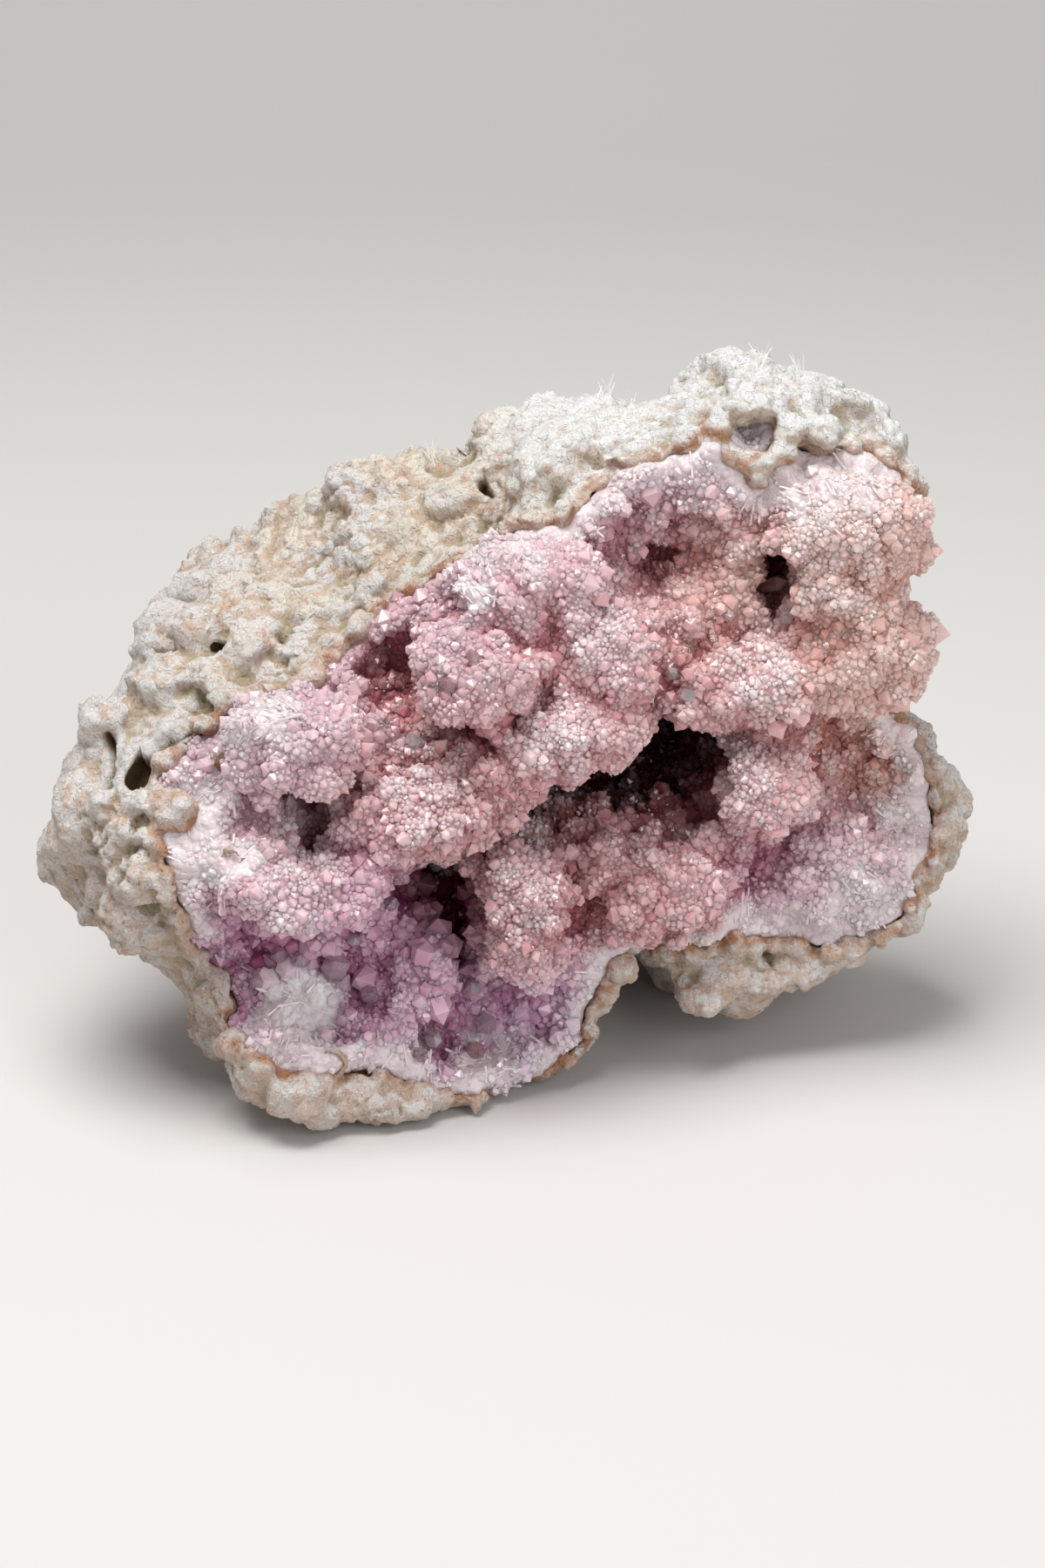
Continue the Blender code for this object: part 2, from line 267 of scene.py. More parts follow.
def lump(bm, centre, radii, rounds=2):
    """An uneven lump of rock in a mesh, its centre and radii in millimetres."""
    place = Matrix.Translation(Vector(centre) * MM) @ Matrix.Diagonal((*(Vector(radii) * MM), 1.0))
    made = bmesh.ops.create_icosphere(bm, subdivisions=rounds, radius=1.0, matrix=place)
    for vert in made["verts"]:
        vert.co += noise.noise_vector(vert.co / (2.2 * MM)) * 0.35 * min(radii) * MM


def buried(surface, vert, reach):
    """Whether a vertex lies on a joint, with the other piece's surface just in front of it."""
    start = vert.co - vert.normal * JOINT_GAP * MM
    return surface.ray_cast(start, vert.normal, (JOINT_GAP + reach) * MM)[0] is not None


def off_path(point, corners):
    """How far a point lies from a line through corners in millimetres, in millimetres."""
    nearest = 50.0
    for start, end in zip(corners, corners[1:]):
        start, end = Vector(start) * MM, Vector(end) * MM
        share = intersect_point_line(point, start, end)[1]
        along = start.lerp(end, min(1.0, max(0.0, share)))
        nearest = min(nearest, (point - along).length / MM)
    return nearest


rind = merged("rind")
bed_surface = surface_of(merged("crystal_bed"))
spots, normals, _ = scatter(rind, RIM_SITES, rind_chance)
rim = []
for spot, normal in zip(spots, normals):
    spot, normal = Vector(spot), Vector(normal)
    inside = bed_surface.ray_cast(spot - normal * JOINT_GAP * MM, normal, 2.0 * MM)[0] is not None
    if bed_surface.find_nearest(spot)[3] < 0.9 * MM and not inside:
        rim.append(spot[:])
refine(rind, RIND_COARSE, 2)
moves = []
for vert in rind.data.vertices:
    height = 0.0
    if not buried(bed_surface, vert, 1.5):
        height = sum(domes(vert.co, *form) for form in RIND_LOBES)
        height *= 0.65 + 0.7 * noise.noise(vert.co / (14.0 * MM))
        height *= step(bed_surface.find_nearest(vert.co)[3] / MM, 0.0, 3.5)
    moves.append(vert.normal * height * MM)
shape(rind, moves)
rim = np.array(rim)
sizes = rind_chance.uniform(*RIM_SIZES, len(rim))
stay = thinned(rim, sizes * MM, 0.55, 5.2 * MM)[:RIM_LOBES]
bm = bmesh.new()
bm.from_mesh(rind.data)
for spot, size in zip(rim[stay] / MM, sizes[stay]):
    lump(bm, Vector(spot) + Vector((0.0, -0.3, 0.0)) * size, size * rind_chance.uniform(0.6, 1.15, 3))
for centre, radii in KNOBS:
    lump(bm, centre, radii)
for middle, radius, start, end, thickness in CURLS:
    steps = int(radius * math.radians(end - start) / (0.6 * thickness)) + 1
    for angle in np.radians(np.linspace(start, end, steps)):
        offset = Vector((math.cos(angle), -0.25 * math.cos(angle), math.sin(angle))) * radius
        lump(bm, Vector(middle) + offset, (thickness,) * 3, 1)
bm.to_mesh(rind.data)
bm.free()
rind.data.update()
refine(rind, RIND_GRAIN, 1)
moves = []
rims = []
cracks = []
for vert in rind.data.vertices:
    to_bed = bed_surface.find_nearest(vert.co)[3] / MM
    crack = 0.0
    height = 0.0
    if to_bed > JOINT_GAP or not buried(bed_surface, vert, 0.8):
        height = sum(domes(vert.co, *form) for form in RIND_WARTS) * (0.4 + 0.6 * step(to_bed, 0.0, 1.5))
        height *= 0.45 + 0.55 * step(noise.noise(vert.co / (9.0 * MM)), -0.2, 0.35)
        for corners, width, depth in CREASES:
            if (vert.co - Vector(corners[0]) * MM).length < 32.0 * MM:
                inside = 1.0 - step(off_path(vert.co, corners), 0.25 * width, width)
                crack = max(crack, inside)
                height -= depth * inside
    moves.append(vert.normal * height * MM)
    rims.append(1.0 - step(to_bed, 0.2, RIM_REACH))
    cracks.append(crack)
shape(rind, moves)
keep(rind, "rim", rims)
keep(rind, "crack", cracks)
keep(rind, "fine_hollow", hollowness(rind, 6))
keep(rind, "broad_hollow", hollowness(rind, 60))
thin = rind.modifiers.new("thin", "DECIMATE")
thin.ratio = min(1.0, RIND_TRIANGLES / (2.0 * len(rind.data.vertices)))
settle(rind)
rind.data.shade_smooth()
rind.name = "chalky_rind"


class Look:
    """A material under construction, with short calls for its nodes."""

    def __init__(self, name, **settings):
        self.material = bpy.data.materials.new(name)
        self.material.use_nodes = True
        self.nodes = self.material.node_tree.nodes
        self.links = self.material.node_tree.links
        self.shader = self.nodes["Principled BSDF"]
        for socket, value in settings.items():
            self.shader.inputs[socket.replace("_", " ")].default_value = value
        self.place = self.add("ShaderNodeTexCoord").outputs["Object"]

    def add(self, kind, **inputs):
        """A node of a kind, with its inputs set or linked by name."""
        node = self.nodes.new(kind)
        for socket, value in inputs.items():
            self.feed(node.inputs[socket.replace("_", " ")], value)
        return node

    def feed(self, socket, value):
        """Links an output to a socket, or sets the socket's value."""
        if isinstance(value, bpy.types.NodeSocket):
            self.links.new(value, socket)
        elif isinstance(value, tuple) and len(value) == 3 and socket.type == "RGBA":
            socket.default_value = (*value, 1.0)
        else:
            socket.default_value = value

    def noise(self, size, detail=3.0, roughness=0.55):
        """Cloudy noise between 0 and 1 with forms of a size in millimetres."""
        node = self.add("ShaderNodeTexNoise", Vector=self.place, Scale=1.0 / (size * MM),
                        Detail=detail, Roughness=roughness)
        return node.outputs["Fac"]

    def ramp(self, value, low, high, bottom=0.0, top=1.0):
        """Stretches a value so that low becomes bottom and high becomes top."""
        node = self.add("ShaderNodeMapRange", Value=value)
        node.interpolation_type = "SMOOTHSTEP"
        for socket, number in zip(("From Min", "From Max", "To Min", "To Max"), (low, high, bottom, top)):
            node.inputs[socket].default_value = number
        return node.outputs["Result"]

    def maths(self, operation, first, second):
        """One operation on two values."""
        node = self.add("ShaderNodeMath")
        node.operation = operation
        self.feed(node.inputs[0], first)
        self.feed(node.inputs[1], second)
        return node.outputs["Value"]

    def mix(self, share, under, over, blend="MIX"):
        """A colour laid over another by a share."""
        node = self.add("ShaderNodeMix")
        node.data_type = "RGBA"
        node.blend_type = blend
        self.feed(node.inputs[0], share)
        self.feed(node.inputs[6], under)
        self.feed(node.inputs[7], over)
        return node.outputs[2]

    def stored(self, name, kind="Fac"):
        """A number or colour kept on the mesh under a name."""
        node = self.add("ShaderNodeAttribute")
        node.attribute_name = name
        return node.outputs[kind]

    def bump(self, height, reach, under=None):
        """Fine relief with a reach in millimetres, on top of another relief."""
        node = self.add("ShaderNodeBump", Height=height, Distance=reach * MM, Strength=1.0)
        if under:
            self.feed(node.inputs["Normal"], under)
        return node.outputs["Normal"]


chalk = Look("chalk", Roughness=0.92, Specular_IOR_Level=0.25)
place = chalk.add("ShaderNodeSeparateXYZ", Vector=chalk.place)
turned = chalk.add("ShaderNodeSeparateXYZ", Vector=chalk.add("ShaderNodeNewGeometry").outputs["Normal"])
upward = chalk.ramp(turned.outputs["Z"], -0.3, 0.7)
high = chalk.ramp(place.outputs["Z"], 0.068, 0.086)
rightward = chalk.ramp(place.outputs["X"], -0.012, 0.006)
# Painted highlight: faces turned up, high on the right, are whitened where the light from above falls on
# them.
painted_top_highlight = chalk.maths("MULTIPLY", chalk.maths("MULTIPLY", high, rightward), upward)
creamy = chalk.maths("MULTIPLY", chalk.ramp(place.outputs["Z"], 0.050, 0.070),
                     chalk.ramp(chalk.noise(14.0, 3.0), 0.35, 0.6))
body = chalk.mix(creamy, CHALK, CREAM)
body = chalk.mix(painted_top_highlight, body, PAINTED_HIGHLIGHT_WHITE)
blotches = chalk.ramp(chalk.noise(7.0, 6.0, 0.7), 0.50, 0.66)
blotches = chalk.maths("MULTIPLY", blotches, chalk.ramp(painted_top_highlight, 0.0, 1.0, 0.55, 0.08))
body = chalk.mix(blotches, body, TAN)
peach = chalk.ramp(chalk.noise(3.5, 5.0, 0.65), 0.53, 0.66, 0.0, 0.75)
peach = chalk.maths("MULTIPLY", peach, chalk.ramp(painted_top_highlight, 0.0, 1.0, 1.0, 0.2))
body = chalk.mix(peach, body, PEACH_STAIN)
# Painted shade: faces turned down are darkened towards tan.
under = chalk.ramp(upward, 0.0, 0.6, 0.4, 0.0)
body = chalk.mix(under, body, TAN)
low = chalk.maths("MULTIPLY", chalk.ramp(place.outputs["Z"], 0.024, 0.050, 0.6, 0.0),
                  chalk.ramp(chalk.noise(2.6, 5.0, 0.65), 0.46, 0.60))
body = chalk.mix(low, body, PEACH_STAIN)
edge = chalk.maths("MULTIPLY", chalk.ramp(chalk.stored("rim"), 0.1, 0.7, 0.0, 0.65),
                   chalk.ramp(chalk.noise(1.9, 5.0, 0.65), 0.42, 0.58))
body = chalk.mix(edge, body, PEACH_STAIN)
# Creases are darker tan, partly a stain and partly painted shade.
crease_stain_and_shade = chalk.ramp(chalk.stored("fine_hollow"), 0.01, 0.18, 0.0, 0.85)
crease_stain_and_shade = chalk.maths("MULTIPLY", crease_stain_and_shade, chalk.ramp(painted_top_highlight, 0.0, 1.0, 1.0, 0.5))
body = chalk.mix(crease_stain_and_shade, body, TAN)
# Broad hollows turn olive, partly a stain and partly painted shade.
olive_stain_and_shade = chalk.ramp(chalk.stored("broad_hollow"), 0.35, 1.2, 0.0, 0.85)
body = chalk.mix(olive_stain_and_shade, body, OLIVE)
# Painted shade: the deepest hollows are darkened nearly to umber.
painted_deepest_shade = chalk.ramp(chalk.stored("broad_hollow"), 1.0, 2.0, 0.0, 0.9)
body = chalk.mix(painted_deepest_shade, body, PAINTED_SHADE_UMBER)
rust = chalk.maths("MULTIPLY", chalk.ramp(chalk.stored("rim"), 0.35, 0.85),
                   chalk.ramp(chalk.noise(2.2, 4.0), 0.39, 0.57))
rust = chalk.maths("MULTIPLY", rust, chalk.ramp(chalk.noise(9.0, 2.0), 0.38, 0.55, 0.3, 1.0))
body = chalk.mix(rust, body, RUST)
# Painted shade: the crack across the top is darkened nearly to umber.
body = chalk.mix(chalk.ramp(chalk.stored("crack"), 0.2, 0.9, 0.0, 0.9), body, PAINTED_SHADE_UMBER)
chalk.feed(chalk.shader.inputs["Base Color"], body)
wrinkled = chalk.bump(chalk.noise(1.6, 6.0, 0.72), 0.8)
crumbs = chalk.add("ShaderNodeTexVoronoi", Vector=chalk.place, Scale=1.0 / (1.5 * MM)).outputs["Distance"]
crumbly = chalk.bump(chalk.ramp(crumbs, 0.0, 0.9, 1.0, 0.0), 0.45, wrinkled)
grainy = chalk.bump(chalk.noise(0.4, 3.0, 0.6), 0.2, crumbly)
chalk.feed(chalk.shader.inputs["Normal"], grainy)
rind.data.materials.append(chalk.material)
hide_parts("rind")
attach(rind, "root")

# A few tufts of fine white mineral needles stand up from the top of the rind.
TUFT_SEED = 21
TUFTS = [((34.0, 9.0), 9), ((39.5, 9.0), 7), ((13.5, 12.0), 8), ((16.5, 12.5), 6), ((-11.0, 17.0), 9)]
NEEDLE_LENGTH = (1.4, 3.6)
NEEDLE_RADIUS = 0.13
tuft_chance = np.random.default_rng(TUFT_SEED)
rind_top = surface_of(rind)
bm = bmesh.new()
for (x, y), needles in TUFTS:
    for _ in range(needles):
        above = Vector((x + tuft_chance.normal(0.0, 0.5), y + tuft_chance.normal(0.0, 0.5), 150.0)) * MM
        foot = rind_top.ray_cast(above, Vector((0.0, 0.0, -1.0)))[0]
        length = tuft_chance.uniform(*NEEDLE_LENGTH) * MM
        aim = Vector((tuft_chance.normal(0.0, 0.45), tuft_chance.normal(0.0, 0.3), 1.0)).normalized()
        turn = aim.to_track_quat("Z", "Y").to_matrix().to_4x4()
        place = Matrix.Translation(foot + aim * length * 0.42) @ turn
        bmesh.ops.create_cone(bm, cap_ends=True, cap_tris=True, segments=5, radius1=NEEDLE_RADIUS * MM,
                              radius2=NEEDLE_RADIUS * 0.3 * MM, depth=length, matrix=place)
tuft_mesh = bpy.data.meshes.new("needle_tufts")
bm.to_mesh(tuft_mesh)
bm.free()
tufts = bpy.data.objects.new("needle_tufts", tuft_mesh)
bpy.context.scene.collection.objects.link(tufts)
needle = Look("white_needles", Roughness=0.5)
needle.feed(needle.shader.inputs["Base Color"], (0.88, 0.88, 0.86))
tufts.data.materials.append(needle.material)
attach(tufts, "root")

# The quartz under the crystals is one body that grew inward from the rind: a milky band against the
# rock, and behind the crust a bed of pink, peach and violet quartz. The break cut it with the stone.
BED_GRAIN = 0.70
BED_DOMES = [(4.6, 2.0, 0.3), (2.2, 0.9, 0.15)]
BED_FACETS = (2.8, 0.55)
BED_SHARPEN = 0.45
BED_SWELL = 0.2
FACE_PLACE = -28.25
FACE_TURN = 0.30
FACE_LEAN = 0.20
BAND_NEAR = 1.2
BAND_FAR = 4.5
BAND_UNEVEN = 2.0
# How far behind the face the painted shade of the pockets starts, and where it is full.
PAINTED_SHADE_FROM = 8.0
PAINTED_SHADE_FULL_AT = 19.0
MILK = (0.79, 0.715, 0.72)
SPRAY_WHITE = (0.95, 0.92, 0.92)
ROSE = (0.66, 0.365, 0.385)
SALMON = (0.50, 0.22, 0.23)
PEACH = (0.675, 0.405, 0.35)
VIOLET = (0.54, 0.285, 0.405)
LILAC = (0.60, 0.40, 0.455)
PALE_VIOLET = (0.68, 0.46, 0.60)
ZONES = [  # where on the face, how far it reaches, and what colour the quartz is there
    ((-27, 22), 11, VIOLET), ((-12, 12), 9, VIOLET), ((5, 11), 8, PALE_VIOLET), ((-20, 36), 5, VIOLET),
    ((35, 27), 5, VIOLET), ((14, 78), 11, LILAC), ((-8, 68), 8, LILAC), ((-28, 57), 9, LILAC),
    ((30, 84), 8, LILAC), ((-36, 44), 8, LILAC), ((48, 60), 13, PEACH), ((50, 76), 10, PEACH),
    ((52, 46), 8, PEACH), ((28, 68), 8, PEACH), ((8, 62), 16, ROSE), ((-8, 50), 14, SALMON),
    ((28, 34), 11, ROSE), ((8, 34), 12, SALMON), ((22, 52), 10, SALMON), ((19, 24), 9, SALMON),
    ((-26, 42), 8, ROSE), ((34, 52), 9, ROSE), ((43, 28), 7, LILAC),
]
MILKY = [  # where the milky quartz reaches further in from the rind: x, z and reach
    ((-29, 14), 8), ((-16, 7), 7), ((-3, 4), 6), ((-43, 41), 8), ((-33, 58), 7), ((-21, 66), 6),
    ((-5, 72), 6),
    ((2, 77), 5), ((48, 84), 7), ((40, 82), 6), ((38, 20), 7), ((48, 24), 8), ((57, 34), 7), ((27, 17), 5),
]
SPRAYS = [((-28.4, -28.0, 15.2), 8.0)]  # where fibres radiate from a point, and how far
STREAK_SIZE = 0.55


def behind_face(point):
    """How far a point lies behind the broken face, in millimetres."""
    x, y, z = point / MM
    return y - (FACE_PLACE + FACE_TURN * (x + 0.68) + FACE_LEAN * z)


def quartz_colour(point, hollow):
    """The quartz's colour at a point: the zones round it, with painted shade that makes it darker and
    fuller in hollows and deep behind the face.
    """
    x, _, z = point / MM
    total = np.zeros(3)
    weight = 0.0
    for (across, up), reach, colour in ZONES:
        share = math.exp(-((x - across) ** 2 + (z - up) ** 2) / reach ** 2) + 1e-6
        total += share * np.array(colour)
        weight += share
    # Painted shade: the colour grows darker and fuller in hollows and in the pockets deep behind the face.
    painted_shade_power = 1.0 + 0.7 * step(hollow, -0.4, 1.8) + 3.2 * step(behind_face(point), PAINTED_SHADE_FROM, PAINTED_SHADE_FULL_AT)
    return (total / weight) ** painted_shade_power


def near_any(point, patches):
    """How far a point is inside round patches on the face, 0 outside and 1 well inside one."""
    x, _, z = point / MM
    inside = max(1.0 - math.hypot(x - across, z - up) / reach for (across, up), reach in patches)
    return step(inside, 0.0, 0.6)


def facets(point, size, height):
    """Height in millimetres of flat faces that tilt at random, as where crystals broke off."""
    place = warped(point, size)
    centre = noise.voronoi(place)[1][0]
    return height * (place - centre).dot(noise.cell_vector(centre * 5.0))


def grown_from(point):
    """The place on the rock, or in the middle of a spray, that the quartz at a point grew from."""
    for centre, reach in SPRAYS:
        centre = Vector(centre) * MM
        if (point - centre).length < reach * MM:
            return centre
    return rind_surface.find_nearest(point)[0]


bed = merged("crystal_bed")
refine(bed, BED_GRAIN, 3)
rind_surface = surface_of(rind)
sharpen = hollowness(bed, 60)
moves = []
milks = []
tints = []
gaps = []
roots = []
for vert, hollow in zip(bed.data.vertices, sharpen):
    rock, outward, _, gap = rind_surface.find_nearest(vert.co)
    gap /= MM
    if gap < 2.5 and (vert.co - rock).dot(outward) < 0.0:
        gap = -gap
    uneven = BAND_UNEVEN * noise.noise(vert.co / (4.0 * MM))
    cut = 1.0 - step(behind_face(vert.co), 2.5, 6.0)
    band = (1.0 - step(gap + uneven, BAND_NEAR, BAND_FAR)) * cut
    cloudy = near_any(vert.co, MILKY) * (0.72 + 1.1 * noise.noise(vert.co / (3.5 * MM)))
    cloudy *= 1.0 - step(behind_face(vert.co), 7.0, 11.0)
    milk = min(0.92, max(band * (0.85 + 0.5 * noise.noise(vert.co / (2.6 * MM))), cloudy))
    for centre, reach in SPRAYS:
        off_centre = (vert.co - Vector(centre) * MM).length / MM + uneven
        milk = max(milk, 1.0 - step(off_centre, 0.45 * reach, reach))
    height = 0.0
    if gap > 0.4:
        height = sum(domes(vert.co, *form) for form in BED_DOMES) * (1.0 - 0.7 * milk)
        height += facets(vert.co, *BED_FACETS) * (1.0 - milk)
        height -= BED_SHARPEN * min(3.0, max(-1.5, hollow)) * (1.0 - milk)
        height = height * step(gap, 0.4, 1.5) + BED_SWELL
    moves.append(vert.normal * height * MM)
    milks.append(milk)
    gaps.append(gap)
    # This colour holds the painted shade of the hollows and deep pockets.
    colour = quartz_colour(vert.co, hollow)
    spray = max(1.0 - step((vert.co - Vector(centre) * MM).length / MM, 0.3 * reach, reach)
                for centre, reach in SPRAYS)
    milky = np.array(MILK) + (np.array(SPRAY_WHITE) - np.array(MILK)) * spray
    tints.append((*(colour + (milky - colour) * milk), 1.0))
    root = grown_from(vert.co)
    roots.append(rock if root == rock else root + (vert.co - root).normalized() * 2.5 * MM)
shape(bed, moves)
keep(bed, "milk", milks)
bed_hollow = hollowness(bed, 20)
layer = bed.data.attributes.new("tint", "FLOAT_COLOR", "POINT")
layer.data.foreach_set("color", np.array(tints, dtype=np.float32).ravel())
layer = bed.data.attributes.new("root", "FLOAT_VECTOR", "POINT")
layer.data.foreach_set("vector", np.array([root[:] for root in roots], dtype=np.float32).ravel())
bed.data.shade_smooth()
bed.name = "quartz_bed"

quartz = Look("bed_quartz", Roughness=0.3, Subsurface_Weight=0.6, Subsurface_Scale=0.002)
quartz.shader.inputs["Subsurface Radius"].default_value = (1.0, 0.65, 0.65)
along = quartz.add("ShaderNodeVectorMath")
along.operation = "SCALE"
quartz.feed(along.inputs[0], quartz.place)
along.inputs["Scale"].default_value = 0.08
lengthwise = quartz.add("ShaderNodeVectorMath")
quartz.feed(lengthwise.inputs[0], quartz.stored("root", "Vector"))
quartz.feed(lengthwise.inputs[1], along.outputs[0])
streaks = quartz.add("ShaderNodeTexNoise", Vector=lengthwise.outputs[0],
                     Scale=1.0 / (STREAK_SIZE * MM), Detail=4.0, Roughness=0.6).outputs["Fac"]
streaky = quartz.maths("MULTIPLY", quartz.ramp(streaks, 0.42, 0.68, 0.0, 0.4), quartz.stored("milk"))
cloud = quartz.ramp(quartz.noise(2.2, 4.0), 0.42, 0.7, 0.0, 0.3)
colour = quartz.mix(cloud, quartz.stored("tint", "Color"), (0.90, 0.80, 0.82))
colour = quartz.mix(streaky, colour, (0.70, 0.54, 0.62))
quartz.feed(quartz.shader.inputs["Base Color"], colour)
points = quartz.add("ShaderNodeTexVoronoi", Vector=quartz.place, Scale=1.0 / (1.1 * MM)).outputs["Distance"]
sugary = quartz.bump(quartz.ramp(points, 0.0, 0.9, 1.0, 0.0), 0.35)
silky = quartz.bump(quartz.maths("MULTIPLY", streaks, quartz.stored("milk")), 0.35, sugary)
quartz.feed(quartz.shader.inputs["Normal"], silky)
bed.data.materials.append(quartz.material)
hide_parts("crystal_bed")
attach(bed, "root")

# The crust is thousands of small quartz crystals, each a six sided column with a pointed end, grown
# side by side out of the bed. They are sugary and let light through, and are paler at their tips.
CRYSTAL_SEED = 3
SITES_TRIED = 240000
CRUST_RADIUS = 0.43
CRUST_SPREAD = 0.36
HOLLOW_RADIUS = 1.05
SPACING = 0.60
LEAN = 0.28
ROOT = 0.9
FROST = (0.82, 0.70, 0.715)
FROSTED = [((-11, 47), 8), ((6, 54), 8), ((11, 64), 8), ((44, 78), 10), ((34, 58), 7), ((1, 32), 7),
           ((-28, 37), 8), ((31, 44), 6), ((44, 70), 7)]
BIG_POINTS = [((-27, 20), 11), ((-8, 14), 7), ((-10, 24), 6), ((6, 12), 7)]
chance = np.random.default_rng(CRYSTAL_SEED)


def column():
    """One crystal of radius 1 and height 1: a six sided column with a pointed end."""
    bm = bmesh.new()
    bmesh.ops.create_cone(bm, cap_ends=True, segments=6, radius1=0.85, radius2=1.0, depth=1.0)
    top = [face for face in bm.faces if face.normal.z > 0.9]
    bmesh.ops.poke(bm, faces=top)
    bmesh.ops.triangulate(bm, faces=bm.faces)
    bmesh.ops.recalc_face_normals(bm, faces=bm.faces)
    places = np.array([vert.co[:] for vert in bm.verts])
    places[:, 2] += 0.5
    faces = np.array([[vert.index for vert in face.verts] for face in bm.faces])
    bm.free()
    return places, faces


def crystals(name, spots, axes, radii, heights, colours, paler):
    """One joined mesh of crystals along their axes, with their colour kept on their vertices."""
    places, faces = column()
    count = len(spots)
    side = np.cross(axes, chance.normal(0.0, 1.0, (count, 3)))
    side /= np.linalg.norm(side, axis=1)[:, None]
    other = np.cross(axes, side)
    local = np.repeat(places[None, :, :], count, axis=0)
    middle = np.hypot(places[:, 0], places[:, 1]) < 0.1
    tip = int(np.flatnonzero(middle & (places[:, 2] > 0.5))[0])
    shoulder = (places[:, 2] > 0.5) & ~middle
    tall = heights / radii
    local[:, :, 2] *= tall[:, None]
    local[:, shoulder, 2] -= chance.random((count, shoulder.sum())) * 0.45
    local[:, tip, 2] = tall + 0.45 + 0.4 * chance.random(count)
    local[:, tip, :2] = chance.normal(0.0, 0.15, (count, 2))
    local *= radii[:, None, None]
    world = local[:, :, :1] * side[:, None, :] + local[:, :, 1:2] * other[:, None, :]
    world += local[:, :, 2:] * axes[:, None, :] + spots[:, None, :]
    corners = faces[None, :, :] + (np.arange(count) * len(places))[:, None, None]
    mesh = bpy.data.meshes.new(name)
    mesh.from_pydata(world.reshape(-1, 3).tolist(), [], corners.reshape(-1, 3).tolist())
    upper = np.where(places[:, 2] > 0.5, 0.75, 0.0)
    upper[tip] = 1.3
    share = (upper[None, :] * paler[:, None]).clip(0.0, 1.0)[:, :, None]
    shades = colours[:, None, :] * (1.0 - share) + np.array(FROST)[None, None, :] * share
    shades = np.concatenate([shades, np.ones((count, len(places), 1))], axis=2)
    layer = mesh.attributes.new("along", "FLOAT", "POINT")
    layer.data.foreach_set("value", (local[:, :, 2] / MM).astype(np.float32).ravel())
    layer = mesh.attributes.new("tint", "FLOAT_COLOR", "POINT")
    layer.data.foreach_set("color", shades.astype(np.float32).ravel())
    piece = bpy.data.objects.new(name, mesh)
    bpy.context.scene.collection.objects.link(piece)
    return piece


def leaning(normals, spread):
    """Directions that lean away from the normals at random."""
    axes = normals + chance.normal(0.0, spread, normals.shape)
    return axes / np.linalg.norm(axes, axis=1)[:, None]


all_spots, all_normals, nearest = scatter(bed, SITES_TRIED, chance)
milk_here = np.array(milks)[nearest]
gap_here = np.array(gaps)[nearest]
tint_here = np.array(tints)[nearest, :3]
crust = (gap_here > 0.7) & (chance.random(SITES_TRIED) > milk_here * 1.15)
spots, normals, hollow_here = all_spots[crust], all_normals[crust], bed_hollow[nearest][crust]
# The crystals take the bed's colour, with its painted shade in hollows and pockets.
colours = tint_here[crust]
frosty = np.array([near_any(Vector(spot), FROSTED) for spot in spots])
patchy = np.array([noise.noise(Vector(spot) / (5.0 * MM)) for spot in spots])
frosty = np.clip(0.85 * frosty + 0.7 * patchy, 0.0, 1.0) * (0.55 + 0.45 * normals[:, 2].clip(-1.0, 1.0))
large = np.array([near_any(Vector(spot), BIG_POINTS) for spot in spots])
radii = CRUST_RADIUS * np.exp(chance.normal(0.0, CRUST_SPREAD, len(spots)))
radii *= 1.0 + large * (HOLLOW_RADIUS / CRUST_RADIUS - 1.0) * (chance.random(len(spots)) < 0.14)
radii = np.minimum(radii * (1.0 - 0.3 * frosty), 2.0)
order = np.argsort(-radii * (1.0 + 0.8 * chance.random(len(spots))), kind="stable")
order = order[thinned(spots[order], (radii * MM)[order], SPACING, 1.5 * MM)]
spots, normals, radii, frosty, large = (part[order] for part in (spots, normals, radii, frosty, large))
hollow_here, colours = hollow_here[order], colours[order]
count = len(spots)
proud = radii * (0.35 * chance.random(count) ** 1.5 + 0.5 * large * chance.random(count) + 0.25 * frosty)
colours = colours ** (0.92 + 0.16 * chance.random((count, 1)))
# Painted highlight: crystals on the crests of the bed are paler than those in its hollows.
painted_crest_highlight = np.clip(-hollow_here, -0.6, 1.0)
paler = (0.08 + 0.65 * frosty + 0.22 * painted_crest_highlight).clip(0.0, 1.0) * (0.75 + 0.35 * chance.random(count))
axes = leaning(normals, LEAN)
sunk = spots - axes * (radii * ROOT * MM)[:, None]
group = np.arange(count) % 3
sugar = Look("crystal_quartz", Roughness=0.15, IOR=1.54, Subsurface_Weight=0.55, Subsurface_Scale=0.002)
sugar.shader.inputs["Subsurface Radius"].default_value = (1.0, 0.65, 0.65)
sugar.feed(sugar.shader.inputs["Base Color"], sugar.stored("tint", "Color"))
for number, name in enumerate(("crust_crystals_a", "crust_crystals_b", "crust_crystals_c")):
    mine = group == number
    piece = crystals(name, sunk[mine], axes[mine], radii[mine] * MM,
                     (proud[mine] + radii[mine] * ROOT) * MM, colours[mine], paler[mine])
    piece.data.materials.append(sugar.material)
    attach(piece, "root")

